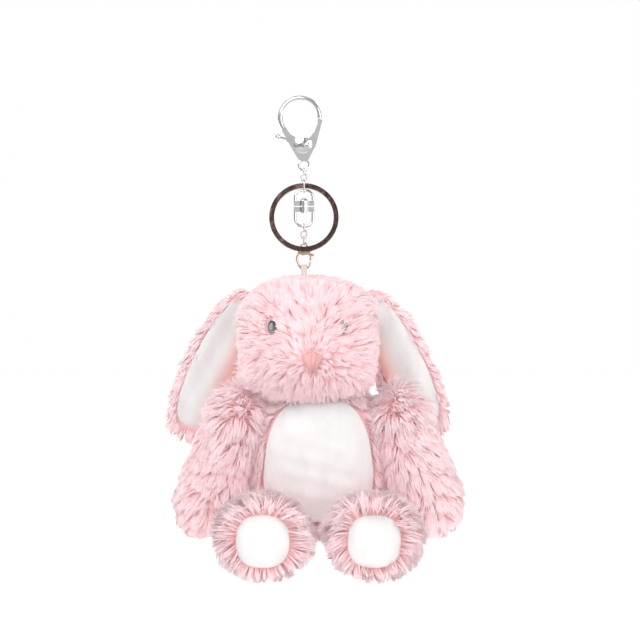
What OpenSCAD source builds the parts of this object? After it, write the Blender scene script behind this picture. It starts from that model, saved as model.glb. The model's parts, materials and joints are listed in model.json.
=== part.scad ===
// Plush bag charm: a soft rabbit that hangs from a trigger clasp, split ring and swivel.
// The origin is the centre of the large clasp's loop. +Z is up and -Y is the front.

/* [Large clasp] */
// Inner radius of the loop
loop_r = 7.6; // [6:0.1:10]
// Thickness of the loop
loop_wire = 2.2; // [1.8:0.1:2.6]
// Radius of the gate's pivot pin
gate_pin_r = 0.7; // [0.5:0.05:0.9]
// Thickness of the gate between the cheeks
gate_t = 1.6; // [1.4:0.1:1.8]
// Radius of the ball on the thumb lever
thumb_ball_r = 1.25; // [1:0.05:1.6]
// Radius of the hole in the lower eye
eye_hole_r = 1.65; // [1.5:0.05:2]
// Thickness of the lower eye
eye_wire = 1.1; // [0.9:0.05:1.3]
// How far the eye and all that hangs from it sit to the right of the loop's centre
hang_x = 1.7; // [1:0.1:2.4]

/* [Chains] */
// Thickness of the small links
link_wire = 0.7; // [0.6:0.05:0.8]
// Inner width of the small links
link_w = 1.5; // [1.4:0.05:1.8]
// Inner length of the two upper links
upper_link_l = 2.5; // [2.3:0.1:3.2]
// Inner length of the three lower links
lower_link_l = 2.9; // [2.3:0.1:3.6]
// Thickness of the link that holds the split ring
ring_link_wire = 0.8; // [0.7:0.05:0.9]

/* [Split ring] */
// Outer diameter
ring_d = 30; // [25:1:35]
// Width of the band, measured along the radius
ring_band = 2.1; // [1.8:0.1:2.4]
// Thickness of the two turns together
ring_t = 2.1; // [1.8:0.1:2.4]
// Forward lean of the ring, which rests on the small clasp
ring_lean = 8.5; // [8.5:0.5:12]

/* [Swivel] */
// Outer width of the yokes
yoke_w = 8.9; // [8:0.1:10]
// Thickness of the yokes' legs
yoke_wire = 1.24; // [1.1:0.02:1.4]
// Outer radius of the yokes' corners
yoke_corner = 3.6; // [3.2:0.1:3.8]
// Height of the crossbars
crossbar_h = 2.1; // [1.8:0.1:2.6]
// Inner height of the upper yoke
upper_window = 3.8; // [3.6:0.1:5]
// Inner height of the lower yoke
lower_window = 5.6; // [5:0.1:7]
// Radius of the rivet's shank
rivet_r = 0.8; // [0.7:0.05:1]

/* [Small clasp] */
// Outer width of the teardrop
claw_w = 7.1; // [6.4:0.1:8]
// Outer height of the teardrop
claw_h = 9.3; // [8.8:0.1:11]
// Thickness of the claw
claw_wire = 1.1; // [1:0.05:1.2]
// Radius of the hole in the eye
claw_eye_r = 0.8; // [0.7:0.05:1]

/* [Rabbit] */
// Width of the head under the pile
head_w = 55; // [48:1:64]
// Depth of the head
head_d = 48; // [42:1:56]
// Height of the head
head_h = 52; // [46:1:60]
// Width of the torso
torso_w = 57; // [50:1:62]
// Depth of the torso
torso_d = 44; // [40:1:52]
// Height of the torso
torso_h = 66; // [60:1:76]
// Length of an ear
ear_l = 68; // [58:1:76]
// Width of an ear
ear_w = 24; // [20:1:28]
// Thickness of an ear
ear_t = 6; // [5:0.5:7]
// Length of an arm between its end centres
arm_l = 42; // [36:1:46]
// Radius of an arm at the shoulder
shoulder_r = 8; // [7:0.5:9]
// Radius of a hand
hand_r = 12; // [10:0.5:13]
// Length of a leg from the hip to the sole
leg_l = 36; // [32:1:42]
// Radius of a leg at the hip
hip_r = 11; // [9:0.5:12]
// Radius of a foot
foot_r = 15; // [13:0.5:16]
// Radius of a sole pad
sole_r = 11.5; // [10:0.5:13]
// Thickness of the cloth skin
skin = 1.2; // [0.8:0.1:1.6]
// Width of the hanging ribbon
ribbon_w = 2.4; // [2:0.1:3]
// Thickness of the hanging ribbon
ribbon_t = 0.8; // [0.6:0.1:1]

/* [Clearances] */
// Gap between two links where one hangs in the other
link_gap = 0.1; // [0.06:0.02:0.2]
// Radial clearance of a pin that turns in its hole
pin_gap = 0.05; // [0.02:0.01:0.09]
// Gap between flat faces that slide past each other
side_gap = 0.15; // [0.1:0.05:0.3]
// Gap between a limb and the socket in the torso
socket_gap = 0.4; // [0.3:0.1:0.8]

/* [Hidden] */
$fn = 48;
fine = 96;
cut = 0.01; // overlap that lets a cut pass its face
joint = 0.06; // depth to which a straight wire enters a bent one
straight_wire = 0.96; // a straight wire is this much thinner than the bend it enters

chrome = "silver";
nickel = "dimgray";
warm = "rosybrown";
pile = "pink";
velour = "whitesmoke";

// Large clasp. Points are [x, z].
loop_land = 0.12; // depth of the flat land inside the loop
loop_c = loop_r + loop_wire / 2 - loop_land; // radius of the wire's centre line
loop_tip = -0.5; // angle of the hook's tip
loop_collar = 46; // angle where the hook gets slimmer
loop_end = 226; // angle where the loop runs into the body
slim_wire = loop_wire - 0.3;
eye_c = eye_hole_r + eye_wire / 2;
eye_z = -(loop_r + 13.1);
body_foot = eye_z + eye_c + 0.1;
pivot = [hang_x + 1.5, -(loop_r + 4.4)];
body_outline = [
    [-loop_r - 0.3, -loop_r + 2], [-0.6, body_foot], [hang_x + 1.9, body_foot],
    [pivot[0] + 3.1, pivot[1] - 0.6], [pivot[0] + 2.4, pivot[1] + 2.1],
    [pivot[0], pivot[1] + 3.25], [-1.5, -loop_r - 1.15],
    [-loop_r * 0.51, -loop_r + 0.2], [-loop_r * 0.78, -loop_r + 2.7],
];
wedge_t = 2.9; // thickness of the flat wedge
bulge_r = 7.5; // the two domes of the bulge
bulge_sink = 4.9;
bulge = [1.2, pivot[1] + 0.4];
slot_t = gate_t + 2 * side_gap;
slot_r = 4.2;
seat_y = 2.1; // half width between the pin's two seats
seat_r = 1.3;

// Gate: a hub, an arm to the tip and a lever to the ball
gate_hub_r = 1.6;
lever_ball = [-loop_r - 1.9, -loop_r - 0.7];
lever_angle = atan2(lever_ball[1] - pivot[1], lever_ball[0] - pivot[0]);
lever_len = norm(lever_ball - pivot);
lever_h = 2;
lever_bar = lever_len - 4;
lever_neck = 0.55;
gate_swing = 26;
gate_wide_r = 3.75; // beyond this the gate is as thick as the loop
gate_reach = norm([loop_r - pivot[0], pivot[1]]) - 0.1;
gate_outline = [
    pivot, [pivot[0] + 3.4, pivot[1] - 0.9], [loop_r + 2.15, -1], [loop_r + 2.1, 1],
    [loop_r + 0.12, 1], [loop_r + 0.05, -2.5], [pivot[0] + 3.1, -6], [pivot[0] + 0.4, pivot[1] + 2.7],
];
spring_wire = 0.3;
spring_r = 1.25;
pocket_y = 0.15; // the spring lies behind this, beside the hub

// Heights, from the top down. A link's height is that of its upper wire's centre.
upper_pitch = upper_link_l + link_wire;
lower_pitch = lower_link_l + link_wire;
hang = link_wire + link_gap;
eye_low = eye_z - eye_c;
z_u1 = eye_low + (eye_wire + link_wire) / 2 + link_gap;
z_u2 = z_u1 - upper_pitch + hang;
z_u2_low = z_u2 - upper_pitch;
z_ring_link = z_u2_low + (link_wire + ring_link_wire) / 2 + link_gap;
ring_turn = norm([ring_band, ring_t]) / 2 - 0.05; // reach of the band's rounded corners
z_ring = z_u2_low - link_wire / 2 - ring_turn - 0.2; // centre of the band at the top
z_yoke_top = z_ring - ring_turn - 0.1; // outer top of the upper yoke
z_yoke_wire = z_yoke_top - yoke_wire / 2;
z_ring_link_low = z_yoke_wire - (yoke_wire + ring_link_wire) / 2 - link_gap;
ring_link_w = 2 * ring_turn + 0.4;
ring_c = (ring_d - ring_band) / 2;
z_bar_top = z_yoke_top - yoke_wire - upper_window;
z_bar_low = z_bar_top - crossbar_h;
bar_gap = 0.5;
z_lower_top = z_bar_low - bar_gap;
z_lower_low = z_lower_top - crossbar_h;
z_yoke_end = z_lower_low - lower_window - yoke_wire / 2; // centre of the lower yoke's wire
z_l1 = z_yoke_end + (yoke_wire + link_wire) / 2 + link_gap;
z_l2 = z_l1 - lower_pitch + hang;
z_l3 = z_l2 - lower_pitch + hang;
z_l3_low = z_l3 - lower_pitch;
claw_eye_wire = 0.9;
claw_eye_c = claw_eye_r + claw_eye_wire / 2;
z_claw_eye = z_l3_low + (link_wire + claw_eye_wire) / 2 + link_gap - claw_eye_c;

// Swivel
rivet_head_r = 1.8;
rivet_head_h = 1.3;
rivet_boss_r = 1.9;
rivet_tail_r = 1.3;
rivet_tail_h = 0.5;
leg_x = (yoke_w - yoke_wire) / 2;
corner_c = yoke_corner - yoke_wire / 2;

// Small clasp: an oval of four arcs, its lower right side closed by the gate
oval_a = (claw_w - claw_wire) / 2;
oval_b = (claw_h - claw_wire) / 2;
oval_end_r = 1.9;
oval_side_r = (oval_a ^ 2 + (oval_b - oval_end_r) ^ 2 - oval_end_r ^ 2) / (2 * (oval_a - oval_end_r));
oval_join = atan2(oval_b - oval_end_r, oval_side_r - oval_a);
z_claw = z_claw_eye - claw_eye_c - oval_b - 0.5;
z_claw_low = z_claw - oval_b;
claw_t = 2.2;
claw_gate_t = 0.8;
claw_pin_r = 0.35;
claw_pivot = [1.64, oval_b - 0.7];
claw_tip = -14; // angle of the hook's tip on the side arc
claw_gate_end = -7.5;
claw_swing = 22;

// Rabbit. The head hangs from the ribbon in its crown seam.
// Inner radius of the ribbon's fold, which clears the small clasp's rising bend at its edges
ribbon_in = claw_wire / 2 + link_gap + oval_end_r - sqrt(oval_end_r ^ 2 - (ribbon_w / 2) ^ 2);
ribbon_sunk = 3.5;
head_top = z_claw_low - 4.1;
head_c = [hang_x + 1.7, 1.5, head_top - head_h / 2];
muzzle_size = [33, 24, 25];
muzzle_c = head_c + [2, -head_d / 2 + 4, -9];
torso_c = head_c + [4.6, 3.5, -head_h / 2 - torso_h / 2 + 8.5];
neck_cut = 0.05;
seam = 0.02; // line between two cloth pieces of one body
shoulder_y = torso_c[1] - 8;
shoulder_drop = 19; // shoulders above the torso's centre
shoulder_x = half_width(torso_w, torso_h, shoulder_drop) + shoulder_r + 3;
arm_out = 20; // how far an arm hangs away from the vertical
hip_drop = 30.5; // hips below the torso's centre
hip_x = 23.2;
hip_y = torso_c[1] - 12;
foot_low = 5; // a foot points down by this angle
ear_root = [head_w / 2, 14.3, head_c[2] + 17.5];
ear_out = 25;
ear_in = 3; // the root lies this far inside the ear's end
lining_back = 1; // the two cloths of an ear meet this far in front of its middle
eye_place = [15.0, 4.8];
eye_size = [4.2, 3.4, 6.2];
nose_w = 9;
nose_h = 8.5;
nose_t = 2;
panel_t = 0.8;
panel_half = [0.43 * torso_w, 0.43 * torso_h];
sole_dome = 30; // radius of a sole pad's dome

function half_width(width, height, up) = width / 2 * sqrt(1 - (2 * up / height) ^ 2);
function side_sign(left) = left ? -1 : 1;
function shoulder(left) = [torso_c[0] + side_sign(left) * shoulder_x, shoulder_y, torso_c[2] + shoulder_drop];
function hip(left) = [torso_c[0] + side_sign(left) * hip_x, hip_y, torso_c[2] - hip_drop];
function ear_at(left) = [head_c[0] + side_sign(left) * ear_root[0], ear_root[1], ear_root[2]];
function eye_at(left) = [head_c[0] + side_sign(left) * eye_place[0], head_c[2] + eye_place[1]];
// Radius along a limb, from its round start at 0 to its round end at 1
function limb_r(t, r0, r1) = (r0 + (r1 - r0) * t) * (1 - abs(2 * t - 1) ^ 4) ^ 0.5;
// Depth of an ellipsoid's front face at an offset from its centre
function face_y(size, x, z) = -size[1] / 2 * sqrt(1 - (2 * x / size[0]) ^ 2 - (2 * z / size[2]) ^ 2);

// Arc of round wire in the XZ plane, from angle a0 to a1, +X towards +Z
module wire_arc(r, wire, a0, a1) {
    rotate([90, 0, 0]) rotate_extrude(start = a0, angle = a1 - a0, $fn = fine)
        translate([r, 0]) circle(d = wire, $fn = 32);
}

// Plate in the XZ plane, centred on y = 0
module plate(points, thickness) {
    rotate([90, 0, 0]) linear_extrude(thickness, center = true) polygon(points);
}

// Cylinder along Y, centred on y = 0, at a point [x, z]
module cross_pin(at, r, length) {
    translate([at[0], 0, at[1]]) rotate([90, 0, 0]) cylinder(r = r, h = length, center = true);
}

// Straight wire along +Z from z = 0 that runs a little way into the bends at both ends
module straight_piece(length, wire) {
    translate([0, 0, -joint]) cylinder(d = wire * straight_wire, h = length + 2 * joint, $fn = 32);
}

// Oval link in the XZ plane, its upper wire's centre at z = 0
module oval_link(length, width, wire) {
    r = (width + wire) / 2;
    straight = length - width;
    translate([0, 0, -r]) wire_arc(r, wire, 0, 180);
    translate([0, 0, -r - straight]) wire_arc(r, wire, 180, 360);
    for (x = [-r, r]) translate([x, 0, -r - straight]) straight_piece(straight, wire);
}

// One chain link on the hanging line. Turned links show their edge to the front.
module chain_link(z, length, width, wire, turned) {
    translate([hang_x, 0, z]) rotate([0, 0, turned ? 90 : 0]) oval_link(length, width, wire);
}

// An ellipsoid whose poles lie along Y, or along Z with a tilt of 0.
module ellipsoid(size, tilt = 90) {
    scale(size / 2) rotate([tilt, 0, 0]) sphere(1, $fn = fine);
}

// One of the two domes whose overlap is the body's bulging middle
module bulge_dome(side) {
    translate([bulge[0], side * bulge_sink, bulge[1]]) sphere(bulge_r, $fn = fine);
}

module clasp_body() {
    color(chrome) difference() {
        union() {
            wire_arc(loop_c, loop_wire, loop_collar, loop_end);
            wire_arc(loop_c - 0.1, slim_wire, loop_tip, loop_collar + 1);
            intersection() {
                plate(body_outline, 8);
                union() {
                    translate([0, 0, -loop_r * 2]) cube([8 * loop_r, wedge_t, 6 * loop_r], center = true);
                    intersection() {
                        bulge_dome(-1);
                        bulge_dome(1);
                    }
                }
            }
            translate([hang_x, 0, eye_z]) wire_arc(eye_c, eye_wire, 0, 360);
        }
        cross_pin([0, 0], loop_r, 8, $fn = fine);
        cross_pin(pivot, slot_r, slot_t);
        plate(lever_channel(), slot_t);
        cross_pin(pivot, gate_pin_r, 8);
        for (side = [-1, 1]) translate([0, side * (seat_y + 2), 0]) cross_pin(pivot, seat_r, 4);
    }
}

// The lever's way through the body, from its rest to its full swing
function on_lever(along, across, angle) = pivot + [
    along * cos(angle) - across * sin(angle), along * sin(angle) + across * cos(angle),
];
function lever_channel() = [
    on_lever(0, -lever_h / 2 - side_gap, lever_angle),
    on_lever(lever_len, -lever_h / 2 - side_gap, lever_angle),
    on_lever(lever_len, lever_h / 2 + side_gap, lever_angle + gate_swing),
    on_lever(0, lever_h / 2 + side_gap, lever_angle + gate_swing),
];

module clasp_gate() {
    color(chrome) difference() {
        union() {
            cross_pin(pivot, gate_hub_r, gate_t);
            intersection() {
                plate(gate_outline, gate_t);
                cross_pin(pivot, gate_wide_r + cut, gate_t);
            }
            intersection() {
                plate(gate_outline, slim_wire);
                difference() {
                    cross_pin(pivot, gate_reach, 8, $fn = fine);
                    cross_pin(pivot, gate_wide_r, 9);
                }
            }
            translate([pivot[0], 0, pivot[1]]) rotate([0, -lever_angle, 0]) {
                translate([0, -gate_t / 2, -lever_h / 2]) cube([lever_bar, gate_t, lever_h]);
                translate([lever_bar - cut, 0, 0]) rotate([0, 90, 0]) cylinder(r = lever_neck, h = lever_len - lever_bar);
                translate([lever_len, 0, 0]) sphere(thumb_ball_r);
            }
        }
        cross_pin(pivot, gate_pin_r + pin_gap, 8);
        translate([0, pocket_y + 2, 0]) cross_pin(pivot, spring_r + spring_wire / 2 + 0.35, 4);
        translate([pivot[0], pocket_y, pivot[1] - 4.3]) cube([2.2, 2, 4.3]);
    }
}

module clasp_pin() {
    color(chrome) {
        cross_pin(pivot, gate_pin_r, 2 * seat_y + 2 * cut);
        for (side = [-1, 1]) intersection() {
            translate([0, side * (seat_y + 0.25), 0]) cross_pin(pivot, seat_r - 0.05, 0.5);
            translate([pivot[0], side * (seat_y - 2.2), pivot[1]]) sphere(2.65);
        }
    }
}

module clasp_spring() {
    color("gainsboro") {
        for (turn = [0, 1]) translate([pivot[0], pocket_y + 0.22 + turn * (spring_wire - 0.02), pivot[1]])
            wire_arc(spring_r, spring_wire, 0, 360);
        translate([pivot[0] + spring_r, pocket_y + 0.22 + spring_wire - 0.02, pivot[1] - 3.2])
            cylinder(d = spring_wire, h = 3.2);
        translate([pivot[0], pocket_y + 0.22, pivot[1]]) rotate([0, -lever_angle, 0])
            translate([0, 0, spring_r]) rotate([0, 90, 0]) cylinder(d = spring_wire, h = 4);
    }
}

module upper_link_1() { color(chrome) chain_link(z_u1, upper_link_l, link_w, link_wire, true); }
module upper_link_2() { color(chrome) chain_link(z_u2, upper_link_l, link_w, link_wire, false); }
module ring_link() {
    color(chrome)
        chain_link(z_ring_link, z_ring_link - z_ring_link_low - ring_link_wire, ring_link_w, ring_link_wire, true);
}
module lower_link_1() { color(chrome) chain_link(z_l1, lower_link_l, link_w, link_wire, true); }
module lower_link_2() { color(chrome) chain_link(z_l2, lower_link_l, link_w, link_wire, false); }
module lower_link_3() { color(chrome) chain_link(z_l3, lower_link_l, link_w, link_wire, true); }

// One turn of the split ring: a flat band with eased corners
module ring_turn_band(y, a0, a1) {
    ease = 0.2;
    half = ring_t / 4;
    translate([0, y, 0]) rotate([90, 0, 0]) rotate_extrude(start = a0, angle = a1 - a0, $fn = fine)
        translate([ring_c, 0]) polygon([
            [-ring_band / 2 + ease, -half], [ring_band / 2 - ease, -half], [ring_band / 2, -half + ease],
            [ring_band / 2, half - ease], [ring_band / 2 - ease, half], [-ring_band / 2 + ease, half],
            [-ring_band / 2, half - ease], [-ring_band / 2, -half + ease],
        ]);
}

module split_ring() {
    step = 9; // angle over which the wire steps from the front turn to the rear one
    end = ring_c * sin(step); // half the step's length
    half = ring_t / 2 - 0.1;
    color(nickel) translate([hang_x, 0, z_ring]) rotate([-ring_lean, 0, 0]) translate([0, 0, -ring_c]) {
        ring_turn_band(-ring_t / 4 + cut, step, 360);
        ring_turn_band(ring_t / 4 - cut, 0, 360 - step);
        // the step itself, a slanted piece of the same band
        translate([ring_c - 0.05, 0, 0]) rotate([90, 0, 90]) linear_extrude(ring_band - 0.3, center = true)
            polygon([[0, -end - 0.4], [half, -end - 0.4], [half, 0.4], [0, end + 0.4], [-half, end + 0.4], [-half, 0.4]]);
    }
}

// Bow of a yoke: two legs and a rounded end, pointing up, from the crossbar at z = 0
module bow(height) {
    straight = height - corner_c;
    for (side = [-1, 1]) {
        translate([side * leg_x, 0, 0]) straight_piece(straight, yoke_wire);
        translate([side * (leg_x - corner_c), 0, straight]) wire_arc(corner_c, yoke_wire, side > 0 ? 0 : 90, side > 0 ? 90 : 180);
    }
    flat = leg_x - corner_c;
    translate([-flat, 0, height]) rotate([0, 90, 0]) straight_piece(2 * flat, yoke_wire);
}

// Crossbar with a boss round the rivet, from z = 0 upwards
module crossbar(hole_r) {
    difference() {
        union() {
            translate([-yoke_w / 2, -yoke_wire / 2, 0]) cube([yoke_w, yoke_wire, crossbar_h]);
            cylinder(r = rivet_boss_r, h = crossbar_h);
        }
        translate([0, 0, -1]) cylinder(r = hole_r, h = crossbar_h + 2);
    }
}

module swivel_upper_yoke() {
    color(chrome) translate([hang_x, 0, z_bar_low]) {
        crossbar(rivet_r + pin_gap);
        translate([0, 0, crossbar_h]) bow(z_yoke_wire - z_bar_top);
    }
}

module swivel_lower_yoke() {
    color(chrome) translate([hang_x, 0, z_lower_low]) {
        crossbar(rivet_r);
        mirror([0, 0, 1]) bow(z_lower_low - z_yoke_end);
    }
}

module swivel_rivet() {
    head_z = z_bar_top + 0.1;
    dome = (rivet_head_r ^ 2 + rivet_head_h ^ 2) / (2 * rivet_head_h);
    color(chrome) translate([hang_x, 0, 0]) {
        translate([0, 0, z_lower_low - cut]) cylinder(r = rivet_r, h = head_z - z_lower_low + 2 * cut);
        translate([0, 0, z_lower_low - rivet_tail_h]) cylinder(r = rivet_tail_r, h = rivet_tail_h);
        intersection() {
            translate([0, 0, head_z]) cylinder(r = rivet_head_r + 0.1, h = rivet_head_h + 0.1);
            translate([0, 0, head_z + rivet_head_h - dome]) sphere(dome);
        }
    }
}

module at_claw() {
    translate([hang_x, 0, z_claw]) children();
}

// Side arc of the small clasp's oval
module claw_side(side, a0, a1, wire) {
    mirror([side < 0 ? 1 : 0, 0, 0]) translate([oval_a - oval_side_r, 0, 0]) wire_arc(oval_side_r, wire, a0, a1);
}

module claw_body() {
    color(warm) at_claw() difference() {
        union() {
            claw_side(-1, -oval_join, oval_join + 1, claw_wire);
            claw_side(1, -oval_join, claw_tip, claw_wire);
            translate([0, 0, oval_end_r - oval_b])
                wire_arc(oval_end_r, claw_wire * straight_wire, 180 + oval_join - 2, 360 - oval_join + 2);
            // the solid head round the pivot
            intersection() {
                cross_pin([0.3, oval_b - 0.9], 2.45, claw_t);
                translate([0.3, 0, oval_b - 0.9]) sphere(2.6);
                plate([[-4, 5], [-4, 2.1], [-1.4, 2.1], [-0.6, 1.6], [0.6, 1.9], [4, 1.9], [4, 5]], 5);
            }
            translate([0, 0, z_claw_eye - z_claw]) wire_arc(claw_eye_c, claw_eye_wire, 0, 360);
            translate([0, 0, oval_b - 0.2]) cylinder(r = 0.6, h = z_claw_eye - claw_eye_c - z_claw - oval_b + 0.3);
        }
        // slot for the gate's hub and thumb nub, open to the right and below
        plate([[0.35, 0.9], [4.5, -1.5], [6, 4], [3.1, 4.6], [0.9, 4.1]], claw_gate_t + 2 * side_gap);
        cross_pin(claw_pivot, claw_pin_r, 4);
    }
}

module claw_gate() {
    color(warm) at_claw() difference() {
        union() {
            cross_pin(claw_pivot, 0.85, claw_gate_t);
            intersection() {
                claw_side(1, claw_gate_end, oval_join - 6, claw_wire);
                plate([[1, -2], [5, -2], [5, 1.35], [1, 1.35]], 3);
            }
            intersection() {
                claw_side(1, claw_gate_end, oval_join - 6, claw_wire);
                cube([20, claw_gate_t, 20], center = true);
            }
            translate([claw_pivot[0] + 0.9, 0, claw_pivot[1] - 1.1]) rotate([0, 90 + 18, 0]) cylinder(r = 0.36, h = 1.3);
            translate([claw_pivot[0] + 2.2, 0, claw_pivot[1] - 1.5]) sphere(0.6);
        }
        cross_pin(claw_pivot, claw_pin_r + pin_gap, 4);
    }
}

module claw_pin() {
    color(warm) at_claw() cross_pin(claw_pivot, claw_pin_r, claw_t);
}

// Leaf spring between the slot's inner wall and the gate
module claw_spring() {
    color("gainsboro") at_claw() translate([0.55, -0.25, 1.95]) rotate([0, 9.7, 0]) cube([0.15, 0.5, 0.95]);
}

// Ribbon folded over the small clasp's lower wire and sewn into the crown
module hanging_ribbon() {
    drop = z_claw_low - head_top + ribbon_sunk;
    color("linen") translate([hang_x, 0, z_claw_low]) rotate([90, 0, 90]) linear_extrude(ribbon_w, center = true) difference() {
        union() {
            circle(ribbon_in + ribbon_t);
            translate([-ribbon_in - ribbon_t, -drop]) square([2 * (ribbon_in + ribbon_t), drop]);
        }
        circle(ribbon_in);
        translate([-ribbon_in, -drop + ribbon_t]) square([2 * ribbon_in, drop - ribbon_t]);
    }
}

module ribbon_slot() {
    w = ribbon_w + 2 * seam;
    d = 2 * (ribbon_in + ribbon_t + seam);
    translate([hang_x - w / 2, -d / 2, head_top - ribbon_sunk - seam]) cube([w, d, 12]);
}

// Head with its muzzle, taken in by an inset
module head_form(inset) {
    translate(head_c) ellipsoid([head_w, head_d, head_h] - 2 * [inset, inset, inset]);
    translate(muzzle_c) ellipsoid(muzzle_size - 2 * [inset, inset, inset]);
}

module head_filling() {
    color("ivory") difference() {
        head_form(skin);
        ribbon_slot();
    }
}

module head_skin() {
    color(pile) difference() {
        head_form(0);
        head_form(skin);
        ribbon_slot();
        for (left = [true, false]) eye_form(left);
        nose_form();
    }
}

// Domed oval eye, set into the head's face
module eye_form(left) {
    at = eye_at(left);
    y = head_c[1] + face_y([head_w, head_d, head_h], at[0] - head_c[0], at[1] - head_c[2]);
    translate([at[0], y + 0.6, at[1]]) rotate([0, 0, side_sign(left) * 24]) ellipsoid(eye_size);
}

module eye_left() { color("dimgray") difference() { eye_form(true); head_form(skin); } }
module eye_right() { color("dimgray") difference() { eye_form(false); head_form(skin); } }

// Sewn nose: a rounded triangle on the muzzle's front
module nose_form() {
    front = muzzle_c[1] - muzzle_size[1] / 2;
    round_r = 1.2;
    translate([muzzle_c[0], front + 1.2, muzzle_c[2] - nose_h / 2 - 1]) rotate([90, 0, 0])
        linear_extrude(nose_t) hull() {
            for (side = [-1, 1]) translate([side * (nose_w / 2 - round_r), nose_h - round_r]) circle(round_r, $fn = 32);
            translate([0, round_r]) circle(round_r, $fn = 32);
        }
}

module nose() { color("lightsalmon") difference() { nose_form(); head_form(skin); } }

// Torso with sockets for the limbs and the seat of the head, taken in by an inset
module torso_form(inset) {
    difference() {
        translate(torso_c) ellipsoid([torso_w, torso_d, torso_h] - 2 * [inset, inset, inset], 0);
        for (left = [true, false]) {
            translate(shoulder(left)) sphere(shoulder_r + socket_gap + inset, $fn = fine);
            translate(hip(left)) sphere(hip_r + socket_gap + inset, $fn = fine);
        }
        translate(head_c) ellipsoid([head_w, head_d, head_h] + 2 * [1, 1, 1] * (neck_cut + inset), 0);
        translate(muzzle_c) ellipsoid(muzzle_size + 2 * [1, 1, 1] * (neck_cut + inset), 0);
    }
}

module torso_filling() { color("ivory") torso_form(skin); }

module torso_skin() {
    color(pile) difference() {
        torso_form(0);
        torso_form(skin);
        panel_cut(panel_t);
    }
}

// Everything in front of the belly inside the panel's outline, down to a depth in the skin
module panel_cut(depth) {
    difference() {
        translate([torso_c[0], torso_c[1] - torso_d / 2 - 1, torso_c[2] - 3]) rotate([-90, 0, 0])
            linear_extrude(torso_d / 2 - 4) scale([panel_half[0], panel_half[1]]) circle(1, $fn = fine);
        translate(torso_c) ellipsoid([torso_w, torso_d, torso_h] - 2 * [1, 1, 1] * depth, 0);
    }
}

module belly_panel() {
    color(velour) intersection() {
        torso_form(0);
        panel_cut(panel_t - seam);
    }
}

module at_ear(left) {
    translate(ear_at(left)) rotate([0, -side_sign(left) * ear_out, 0]) translate([0, 0, ear_in - ear_l / 2]) children();
}

// Everything in front of the sheet where an ear's velour meets its pile side
module lining_side(gap) {
    translate([-ear_l, -ear_l - lining_back - gap, -ear_l]) cube([2 * ear_l, ear_l, 2 * ear_l]);
}

module ear_pile(left) {
    color(pile) at_ear(left) difference() {
        ellipsoid([ear_w, ear_t, ear_l]);
        lining_side(0);
    }
}

module ear_lining(left) {
    color(velour) at_ear(left) intersection() {
        ellipsoid([ear_w, ear_t, ear_l]);
        lining_side(seam);
    }
}

module ear_left_pile() { ear_pile(true); }
module ear_left_lining() { ear_lining(true); }
module ear_right_pile() { ear_pile(false); }
module ear_right_lining() { ear_lining(false); }

// Round limb along +Z from its start's centre, taken in by an inset
module limb(length, r0, r1, inset) {
    steps = 14;
    full = length + r0 + r1;
    inner = full - 2 * inset;
    translate([0, 0, inset - r0]) rotate_extrude($fn = fine) polygon(concat(
        [[0, 0]],
        [for (i = [1:steps - 1]) let (t = (1 - cos(180 * i / steps)) / 2)
            [max(0.1, limb_r(t, r0, r1) * 1.06 - inset * (1 - abs(2 * t - 1) ^ 4) ^ 0.5), t * inner]],
        [[0, inner]]
    ));
}

module at_arm(left) {
    translate(shoulder(left)) rotate([0, 180 - side_sign(left) * arm_out, 0]) children();
}

module arm_skin(left) {
    color(pile) at_arm(left) difference() {
        limb(arm_l, shoulder_r, hand_r, 0);
        limb(arm_l, shoulder_r, hand_r, skin);
    }
}

module arm_filling(left) { color("ivory") at_arm(left) limb(arm_l, shoulder_r, hand_r, skin); }

module arm_left_skin() { arm_skin(true); }
module arm_left_filling() { arm_filling(true); }
module arm_right_skin() { arm_skin(false); }
module arm_right_filling() { arm_filling(false); }

// Leg along +Z from the hip's centre to a flat sole with an eased edge
module leg_form(inset) {
    ease = 5;
    rotate_extrude($fn = fine) polygon(concat(
        [for (a = [0:15:90]) [(hip_r - inset) * sin(a), -(hip_r - inset) * cos(a)]],
        [[foot_r - 1.2 - inset, leg_l * 0.35], [foot_r - inset, leg_l * 0.62]],
        [for (a = [0:15:90]) [foot_r - ease + (ease - inset) * cos(a), leg_l - ease + (ease - inset) * sin(a)]],
        [[0, leg_l - inset]]
    ));
}

module at_leg(left) {
    translate(hip(left)) rotate([90 + foot_low, 0, 0]) children();
}

// Domed sole pad, let into the sole
module sole_form(gap) {
    intersection() {
        translate([0, 0, leg_l - 0.8 + gap]) cylinder(r = sole_r - gap, h = 6, $fn = fine);
        translate([0, 0, leg_l + 2.4 - sole_dome]) sphere(sole_dome, $fn = fine);
    }
}

module leg_skin(left) {
    color(pile) at_leg(left) difference() {
        leg_form(0);
        leg_form(skin);
        sole_form(0);
    }
}

module leg_filling(left) { color("ivory") at_leg(left) leg_form(skin); }
module sole_pad(left) { color(velour) at_leg(left) sole_form(seam); }

module leg_left_skin() { leg_skin(true); }
module leg_left_filling() { leg_filling(true); }
module sole_pad_left() { sole_pad(true); }
module leg_right_skin() { leg_skin(false); }
module leg_right_filling() { leg_filling(false); }
module sole_pad_right() { sole_pad(false); }

clasp_body();
clasp_gate();
clasp_pin();
clasp_spring();
upper_link_1();
upper_link_2();
ring_link();
split_ring();
swivel_upper_yoke();
swivel_lower_yoke();
swivel_rivet();
lower_link_1();
lower_link_2();
lower_link_3();
claw_body();
claw_gate();
claw_pin();
claw_spring();
hanging_ribbon();
head_skin();
head_filling();
eye_left();
eye_right();
nose();
torso_skin();
torso_filling();
belly_panel();
ear_left_pile();
ear_left_lining();
ear_right_pile();
ear_right_lining();
arm_left_skin();
arm_left_filling();
arm_right_skin();
arm_right_filling();
leg_left_skin();
leg_left_filling();
sole_pad_left();
leg_right_skin();
leg_right_filling();
sole_pad_right();
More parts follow.
